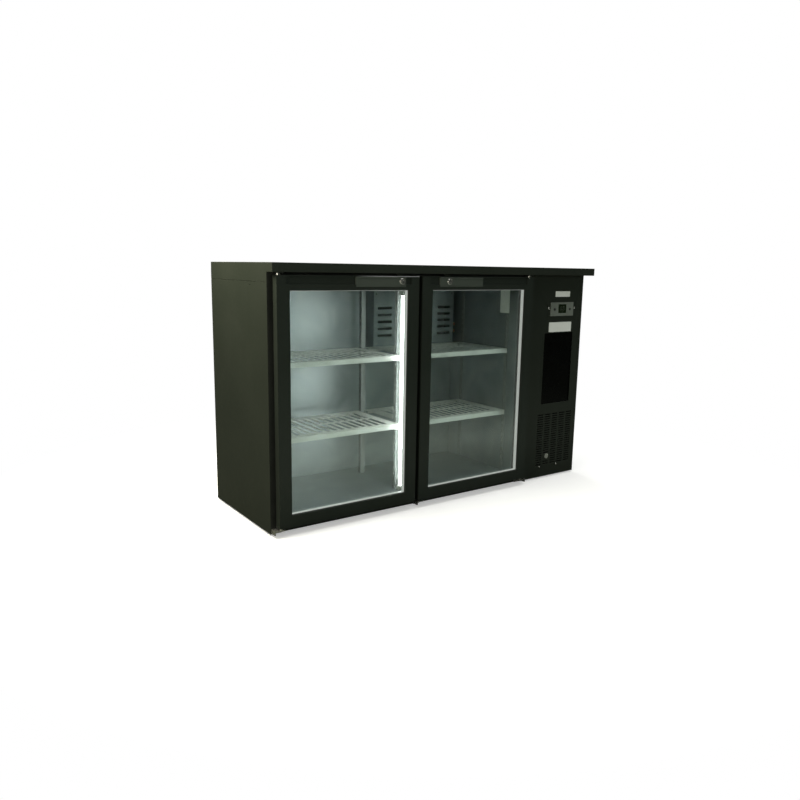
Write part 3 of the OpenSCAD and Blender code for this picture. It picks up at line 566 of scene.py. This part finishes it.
def make_piece(name, solid, body, look, stands_for=(), edge=0.3, cutter=None):
    """Turns a solid into a finished piece on a CAD body; the cutter is carved out of it."""
    obj = bpy.data.objects.new(name, solid.mesh(name))
    bpy.context.scene.collection.objects.link(obj)
    if cutter:
        carve(obj, cutter)
    obj.data.materials.clear()
    obj.data.materials.append(LOOKS[look].done())
    if edge:
        soften(obj, edge)
    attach(obj, body)
    for node in stands_for:
        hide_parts(node)
    return obj


def carve(obj, cutter):
    """Cuts one solid out of a piece for good."""
    tool = bpy.data.objects.new("cutter", cutter.mesh("cutter"))
    bpy.context.scene.collection.objects.link(tool)
    cut = obj.modifiers.new("cut", "BOOLEAN")
    cut.object = tool
    cut.solver = "EXACT"
    carved = bpy.data.meshes.new_from_object(obj.evaluated_get(bpy.context.evaluated_depsgraph_get()))
    obj.modifiers.clear()
    obj.data = carved
    bpy.data.objects.remove(tool)


def separate_boxes(node):
    """The box of each separate solid in a CAD node, as (low, high)."""
    work = bmesh.new()
    work.from_mesh(nodes[node].data)
    bmesh.ops.remove_doubles(work, verts=work.verts, dist=1e-5)
    left = set(work.verts)
    boxes = []
    while left:
        group = {left.pop()}
        rim = list(group)
        while rim:
            near = {edge.other_vert(vert) for vert in rim for edge in vert.link_edges} & left
            left -= near
            group |= near
            rim = list(near)
        low = Vector([min(v.co[i] for v in group) for i in range(3)])
        high = Vector([max(v.co[i] for v in group) for i in range(3)])
        boxes.append((low, high))
    work.free()
    return sorted(boxes, key=lambda box: tuple(box[0]))


def spread(start, end, count):
    """Evenly spaced numbers, both ends included."""
    return [start + (end - start) * i / (count - 1) for i in range(count)]


# ---------------------------------------------------------------- detailed pieces

PANE_LAP = 0.008
BEAD_DEPTH = 2.65       # millimetres from a pane's face to the bead's foot
SIDES = ("left", "right")
HEAD_HEIGHT = 0.42      # of the head's radius
CROSS_ARM = 0.55        # of the head's radius
CROSS_WIDTH = 0.1       # of the head's radius
CROSS_FLOOR = 0.3       # of the head's height
REAR_SCREW_RADIUS = 4.4
REAR_SCREW_MARGIN = 0.018
COVER_SCREW_RADIUS = 3.4
COVER_SCREW_MARGIN = 0.012


def make_screws(name, heads, stands_for=()):
    """Pan-head screws with a cross recess; each head is (place, radius in mm, +1 or -1 along Y)."""
    screws, recess = Solid(), Solid()
    for at, radius, facing in heads:
        rise = facing * radius * HEAD_HEIGHT
        seat = facing * 0.01
        profile = [(0, seat), (0, rise), (radius * 0.45, rise * 0.97), (radius * 0.8, rise * 0.72),
                   (radius, rise * 0.2), (radius, seat)]
        screws.turned(profile, at, "Y", 28)
        arm, width = radius * CROSS_ARM * MM, radius * CROSS_WIDTH * MM
        floor = CROSS_FLOOR * radius * HEAD_HEIGHT * MM
        above = 2 * radius * HEAD_HEIGHT * MM
        quarter = ((arm, width), (width, width), (width, arm))
        cross = []
        for u, v in ((1, 1), (-1, 1), (-1, -1), (1, -1)):
            cross += [(u * x, v * z) for x, z in quarter[::u * v]]
        faces = sorted((at.y + facing * floor, at.y + facing * above))
        recess.loft([[(at.x + x, y, at.z + z) for x, z in cross] for y in faces])
    make_piece(name, screws, "cabinet", "bright", stands_for, 0, recess)


def make_front_screws():
    """The screws of the machine panel, on its face."""
    face_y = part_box("service_panel")[0].y
    heads = []
    for low, high in separate_boxes("panel_screws"):
        middle = (low + high) / 2
        heads.append((Vector((middle.x, face_y, middle.z)), (high.x - low.x) / 2 / MM, -1))
    make_screws("panel_screws_detailed", heads, ["panel_screws"])


def make_rear_screws():
    """A row of screws along each edge of the rear panel."""
    low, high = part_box("rear_panel")
    edges_x = (low.x + REAR_SCREW_MARGIN, high.x - REAR_SCREW_MARGIN)
    edges_z = (low.z + REAR_SCREW_MARGIN, high.z - REAR_SCREW_MARGIN)
    spots = [(x, z) for x in spread(*edges_x, 7) for z in edges_z]
    spots += [(x, z) for x in edges_x for z in spread(low.z + 0.2, high.z - 0.2, 3)]
    make_screws("rear_panel_screws", [(Vector((x, high.y, z)), REAR_SCREW_RADIUS, 1) for x, z in spots])


def make_cover_screws():
    """A screw in each corner of the evaporator's cover."""
    low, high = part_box("evaporator_cover")
    spots = [(x, z) for x in (low.x + COVER_SCREW_MARGIN, high.x - COVER_SCREW_MARGIN)
             for z in (low.z + COVER_SCREW_MARGIN, high.z - COVER_SCREW_MARGIN)]
    heads = [(Vector((x, low.y, z)), COVER_SCREW_RADIUS, -1) for x, z in spots]
    make_screws("evaporator_cover_screws", heads)


def make_door_details(side):
    """Glazing beads, the bellows gasket and the stepped ring round the lock of one door."""
    body = f"door_{side}"
    pane_low, pane_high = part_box(f"door_{side}_panes")
    frame_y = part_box(f"door_{side}_frame")[0].y
    opening = ((pane_low.x + PANE_LAP, pane_high.x - PANE_LAP),
               (pane_low.z + PANE_LAP, pane_high.z - PANE_LAP))
    bead = [(-0.3, 0), (0.9, 0), (2.6, 1.6), (3.0, 2.6), (-0.3, 2.6)]
    front_foot = (pane_low.y - frame_y) / MM - BEAD_DEPTH
    beads = Solid().ring([(inset, front_foot + depth) for inset, depth in bead], *opening, frame_y)
    back_foot = (pane_high.y - frame_y) / MM + BEAD_DEPTH
    beads.ring([(inset, back_foot - depth) for inset, depth in bead], *opening, frame_y)
    make_piece(f"door_{side}_beads", beads, body, "rubber", edge=0.25)

    gasket_low, gasket_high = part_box(f"door_{side}_gasket")
    deep = (gasket_high.y - gasket_low.y) / MM
    bellows = [(1, 0), (17, 0), (17.4, 1.2), (14.8, 1.8), (12.4, 0.36 * deep), (14.6, 0.52 * deep),
               (14.2, 0.6 * deep), (14.2, deep - 0.4), (13.6, deep), (5.0, deep), (4.4, deep - 0.4),
               (4.4, 0.6 * deep), (3.6, 0.52 * deep), (6.0, 0.36 * deep), (3.4, 1.8), (0.6, 1.2)]
    gasket = Solid().ring(bellows, (gasket_low.x, gasket_high.x), (gasket_low.z, gasket_high.z),
                          gasket_low.y)
    make_piece(f"door_{side}_bellows_gasket", gasket, body, "rubber",
               [f"door_{side}_gasket"], edge=0.2)

    rose_low, rose_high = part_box(f"door_{side}_lock_rose")
    lock_low, lock_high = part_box(f"door_{side}_lock")
    middle = (rose_low + rose_high) / 2
    outer = (rose_high.x - rose_low.x) / 2 / MM
    inner = (lock_high.z - lock_low.z) / 2 / MM + 0.1
    depth = (rose_high.y - rose_low.y) / MM
    ring = [(inner, 0.9), (inner + 0.5, 0.2), (inner + 1.2, 0), (inner + 1.9, 0.4), (outer - 0.9, 1.0),
            (outer, 2.0), (outer, depth), (inner, depth)]
    rose = Solid().turned(ring, (middle.x, rose_low.y, middle.z), "Y", 64)
    make_piece(f"door_{side}_lock_ring", rose, body, "bright",
               [f"door_{side}_lock_rose"], edge=0)


def make_feet():
    """Round pads with a locking nut and a threaded stem."""
    pad = [(0, 0), (16.5, 0), (18.6, 0.8), (19, 1.6), (19, 3.2), (18.2, 4.2), (13, 4.9), (0, 4.9)]
    nut = [(0, 4.85), (12, 4.85), (12.6, 5.2), (12.6, 6.6), (12, 7), (0, 7)]
    stem = [(0, 6.9), (6, 6.9), (5.2, 7.2), (6, 7.5), (5.2, 7.8), (5.2, 8), (0, 8)]
    feet = Solid()
    for low, high in separate_boxes("levelling_feet"):
        centre = ((low.x + high.x) / 2, (low.y + high.y) / 2, low.z)
        feet.turned(pad, centre, steps=56)
        feet.turned(nut, centre, steps=6)
        feet.turned(stem, centre, steps=32)
    make_piece("levelling_feet_threaded", feet, "cabinet", "black_plastic",
               ["levelling_feet"])


HUB_SHARE = 0.34        # hub radius over tip radius
BLADE_SECTIONS = 9
BLADE_POINTS = 10
BLADE_THICKNESS = 0.0011
ROOT_PITCH, TIP_PITCH = 40, 24


def blade_section(share, turned, turn, centre, hub, tip, deep):
    """One outline of a fan blade; share runs from 0 at the hub to 1 at the tip."""
    radius = hub * 0.92 + (tip * 0.985 - hub * 0.92) * share
    pitch = math.radians(ROOT_PITCH - (ROOT_PITCH - TIP_PITCH) * share)
    swell = 0.62 + 0.30 * math.sin(math.pi * (0.2 + 0.6 * share))
    chord = min(tip * swell, 0.9 * deep / math.sin(pitch))
    lean = turn * 0.42 * share ** 1.4
    top, bottom = [], []
    for j in range(BLADE_POINTS + 1):
        along = 2 * j / BLADE_POINTS - 1
        s = along / 2 * chord
        camber = 0.06 * chord * (1 - along ** 2)
        thick = BLADE_THICKNESS * (1 - 0.65 * abs(along))
        angle = turned + lean + turn * s * math.cos(pitch) / radius
        y = centre.y + s * math.sin(pitch) * 0.92 - camber * 0.5
        for side, offset in ((top, thick), (bottom, -thick)):
            side.append((centre.x + radius * math.cos(angle), y + offset,
                         centre.z + radius * math.sin(angle)))
    return top + bottom[::-1]


def make_fan(node, look, blades, turn):
    """A fan wheel with a domed hub and swept blades of changing pitch; turn is +1 or -1."""
    low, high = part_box(node)
    centre = (low + high) / 2
    tip = max(high.x - low.x, high.z - low.z) / 2
    deep = high.y - low.y
    hub = tip * HUB_SHARE
    half = deep / MM / 2
    dome = [(0, -half), (hub / MM * 0.7, -half), (hub / MM, -half * 0.55), (hub / MM, half), (0, half)]
    wheel = Solid().turned(dome, centre, "Y", 64)
    for blade in range(blades):
        turned = math.tau * blade / blades
        wheel.loft([blade_section(i / (BLADE_SECTIONS - 1), turned, turn, centre, hub, tip, deep)
                    for i in range(BLADE_SECTIONS)])
    make_piece(f"{node}_wheel", wheel, node, look, [node], edge=0)


CAP_LENGTH = 11
PIN_OFFSET = 0.005
PIN_RADIUS = 1.1
PIN_LENGTH = 2


def make_lamp():
    """A fluorescent tube with rounded shoulders, and its metal end caps with their pins."""
    low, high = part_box("lamp_tube")
    centre = ((low.x + high.x) / 2, (low.y + high.y) / 2, low.z)
    length = (high.z - low.z) / MM
    radius = (high.x - low.x) / 2 / MM
    cap = CAP_LENGTH
    far = length - cap
    outline = [(0, cap - 3), (radius - 2.4, cap - 3), (radius - 0.6, cap - 1), (radius - 0.2, cap + 2),
               (radius - 0.2, far - 2), (radius - 0.6, far + 1), (radius - 2.4, far + 3), (0, far + 3)]
    tube = Solid().turned(outline, centre, steps=40)
    make_piece("lamp_glass", tube, "cabinet", "lamp", ["lamp_tube"], edge=0)
    caps = Solid()
    shell = [(0, 1.6), (radius - 1.4, 1.6), (radius - 0.4, 2.2), (radius, 3.4), (radius, cap - 0.6),
             (radius - 0.5, cap), (0, cap)]
    for end, way in ((0, 1), (length, -1)):
        caps.turned([(r, end + way * h) for r, h in shell], centre, steps=40)
        for offset in (-PIN_OFFSET, PIN_OFFSET):
            pin = (centre[0], centre[1] + offset, centre[2])
            tip = end + way * PIN_LENGTH
            caps.turned([(0, end), (PIN_RADIUS, end), (PIN_RADIUS, tip), (0, tip)], pin, steps=12)
    make_piece("lamp_caps", caps, "cabinet", "clip", edge=0)


def make_display_digits():
    """Two seven-segment figures behind the controller's window."""
    low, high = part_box("controller_display")
    tall = (high.z - low.z) * 0.56
    wide = tall * 0.52
    bar = tall * 0.11
    face = (low.y - 0.0001, low.y + 0.0002)
    middle = (low + high) / 2
    digits = Solid()
    for place in (-0.75, 0.75):
        x = middle.x + place * wide
        for level in (-1, 0, 1):
            z = middle.z + level * (tall - bar) / 2
            digits.box((x - wide / 2 + bar, face[0], z - bar / 2),
                       (x + wide / 2 - bar, face[1], z + bar / 2))
        for side in (-1, 1):
            upright = x + side * (wide - bar) / 2
            for level in (-1, 1):
                z = middle.z + level * (tall - bar) / 4
                digits.box((upright - bar / 2, face[0], z - tall / 4 + bar),
                           (upright + bar / 2, face[1], z + tall / 4 - bar))
    make_piece("display_digits", digits, "cabinet", "digits", edge=0)


FOOT_SPREAD = 0.05
FOOT_HALF_WIDTH = 0.011
FOOT_THICKNESS = 0.003
SKIRT = 12              # millimetres that the feet stand out past the shell


def make_compressor():
    """A welded shell with its seam flange, pressed feet, middle rib and terminal cover."""
    low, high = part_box("compressor")
    radius = (high.x - low.x) / 2 / MM - SKIRT
    centre = Vector(((low.x + high.x) / 2, high.y - radius * MM, low.z))
    tall = (high.z - low.z) / MM
    seam = tall * 0.56
    shell = [(0, 6), (radius * 0.72, 6), (radius * 0.93, 16), (radius - 1.5, 34), (radius - 1.5, seam - 3),
             (radius, seam - 2), (radius, seam + 2), (radius - 2.5, seam + 3), (radius - 3, tall * 0.78),
             (radius * 0.88, tall * 0.88), (radius * 0.62, tall * 0.96), (radius * 0.3, tall * 0.995),
             (0, tall)]
    body = Solid().turned(shell, centre, steps=72)
    rail = high.x - centre.x
    for way in (-1, 1):
        foot_y = centre.y + way * FOOT_SPREAD
        body.box((centre.x - rail, foot_y - FOOT_HALF_WIDTH, low.z),
                 (centre.x + rail, foot_y + FOOT_HALF_WIDTH, low.z + FOOT_THICKNESS))
    body.box((centre.x - 0.045, centre.y - FOOT_SPREAD, low.z),
             (centre.x + 0.045, centre.y + FOOT_SPREAD, low.z + 0.008))
    body.box((centre.x - 0.032, low.y, low.z + 0.046),
             (centre.x + 0.032, centre.y - radius * MM + 0.012, low.z + 0.114))
    make_piece("compressor_shell", body, "cabinet", "compressor", ["compressor"],
               edge=1.5)


make_front_screws()
make_rear_screws()
make_cover_screws()
for door_side in SIDES:
    make_door_details(door_side)
make_feet()
make_fan("evaporator_fan", "black_plastic", 5, 1)
make_fan("condenser_fan", "fin", 4, -1)
make_lamp()
make_display_digits()
make_compressor()


# ---------------------------------------------------------------- stage

FLOOR_SIZE = 60.0
FLOOR_TONE = (0.80, 0.80, 0.80)
FLOOR_GLOW = 0.38
FADE_START, FADE_END = 0.95, 1.75
# floor colours for bounced light: a painted pool of light ahead of the object
BOUNCE_END = 2.4
BOUNCE_DARK = (0.07, 0.075, 0.06)
BOUNCE_PALE = (0.42, 0.46, 0.41)
AMBIENT = (0.075, 0.08, 0.07)


def make_floor():
    """A pale floor; past the object's surroundings it melts into the pale background."""
    mesh = bpy.data.meshes.new("floor")
    half = FLOOR_SIZE / 2
    corners = [(-half, -half, 0), (half, -half, 0), (half, half, 0), (-half, half, 0)]
    mesh.from_pydata(corners, [], [(0, 1, 2, 3)])
    floor = bpy.data.objects.new("floor", mesh)
    bpy.context.scene.collection.objects.link(floor)
    look = Look("floor", base_color=FLOOR_TONE, roughness=0.8, specular_ior_level=0.1,
                emission_color=(1, 1, 1), emission_strength=FLOOR_GLOW)
    length = look.add("ShaderNodeVectorMath", operation="LENGTH")
    look.link(look.place, length.inputs[0])
    far = look.span(length.outputs["Value"], 0, 1, (FADE_START, FADE_END))
    glow = look.add("ShaderNodeEmission")
    glow.inputs["Strength"].default_value = 1.0
    seen = look.add("ShaderNodeMixShader")
    look.link(far, seen.inputs["Fac"])
    look.link(look.shader.outputs["BSDF"], seen.inputs[1])
    look.link(glow.outputs["Emission"], seen.inputs[2])
    # for bounced light the floor is painted pale ahead of the object and close to it and dark elsewhere, a
    # painted pool of light that sets how much the floor lights the object
    bounce = look.add("ShaderNodeBsdfDiffuse")
    ahead = look.span(look.axis("Y"), 1, 0, (-1.0, -0.3))
    close = look.span(length.outputs["Value"], 1, 0, (BOUNCE_END / 2, BOUNCE_END))
    lit = look.maths("MULTIPLY", ahead, close)
    look.link(look.mix(lit, BOUNCE_DARK, BOUNCE_PALE), bounce.inputs["Color"])
    rays = look.add("ShaderNodeLightPath")
    mix = look.add("ShaderNodeMixShader")
    look.link(rays.outputs["Is Camera Ray"], mix.inputs["Fac"])
    look.link(bounce.outputs["BSDF"], mix.inputs[1])
    look.link(seen.outputs["Shader"], mix.inputs[2])
    look.link(mix.outputs["Shader"], look.output.inputs["Surface"])
    mesh.materials.append(look.done())


def make_world(ambient):
    """White behind the object, and a dimmer, even light all round it."""
    world = bpy.data.worlds.new("studio")
    world.use_nodes = True
    bpy.context.scene.world = world
    tree = world.node_tree
    surround = tree.nodes["Background"]
    surround.inputs["Color"].default_value = (*ambient, 1)
    backdrop = tree.nodes.new("ShaderNodeBackground")
    backdrop.inputs["Color"].default_value = (1, 1, 1, 1)
    rays = tree.nodes.new("ShaderNodeLightPath")
    mix = tree.nodes.new("ShaderNodeMixShader")
    tree.links.new(rays.outputs["Is Camera Ray"], mix.inputs["Fac"])
    tree.links.new(surround.outputs["Background"], mix.inputs[1])
    tree.links.new(backdrop.outputs["Background"], mix.inputs[2])
    tree.links.new(mix.outputs["Shader"], tree.nodes["World Output"].inputs["Surface"])


def softbox(name, at, aim, size, power, colour=(1, 1, 1), in_gloss=True):
    """A soft rectangular lamp, out of the camera's sight."""
    data = bpy.data.lights.new(name, "AREA")
    data.shape = "RECTANGLE"
    data.size, data.size_y = size
    data.energy = power
    data.color = colour
    light = bpy.data.objects.new(name, data)
    light.location = at
    light.rotation_euler = (Vector(aim) - Vector(at)).to_track_quat("-Z", "Y").to_euler()
    light.visible_camera = False
    light.visible_glossy = in_gloss
    bpy.context.scene.collection.objects.link(light)


make_floor()
make_world(AMBIENT)
softbox("overhead", (0.2, -0.2, 4.2), (0, 0, 0), (4.0, 4.0), 160, (1, 1, 0.97))
softbox("left_window", (-3.2, -1.1, 1.1), (-0.5, 0, 0.5), (1.6, 1.6), 40, (1, 0.95, 0.80))
softbox("left_top", (-1.22, 0.1, 1.5), (-0.75, 0.1, 0.8), (0.7, 0.4), 30, (1, 0.93, 0.72))
softbox("front_fill", (1.2, -4.6, 1.5), (0.1, 0, 0.4), (2.5, 1.0), 42, (0.93, 1, 0.94), in_gloss=False)
softbox("rear_fill", (1.2, 4.4, 2.0), (0, 0, 0.4), (2.5, 2.0), 110, in_gloss=False)

bpy.context.scene.view_settings.view_transform = "Standard"
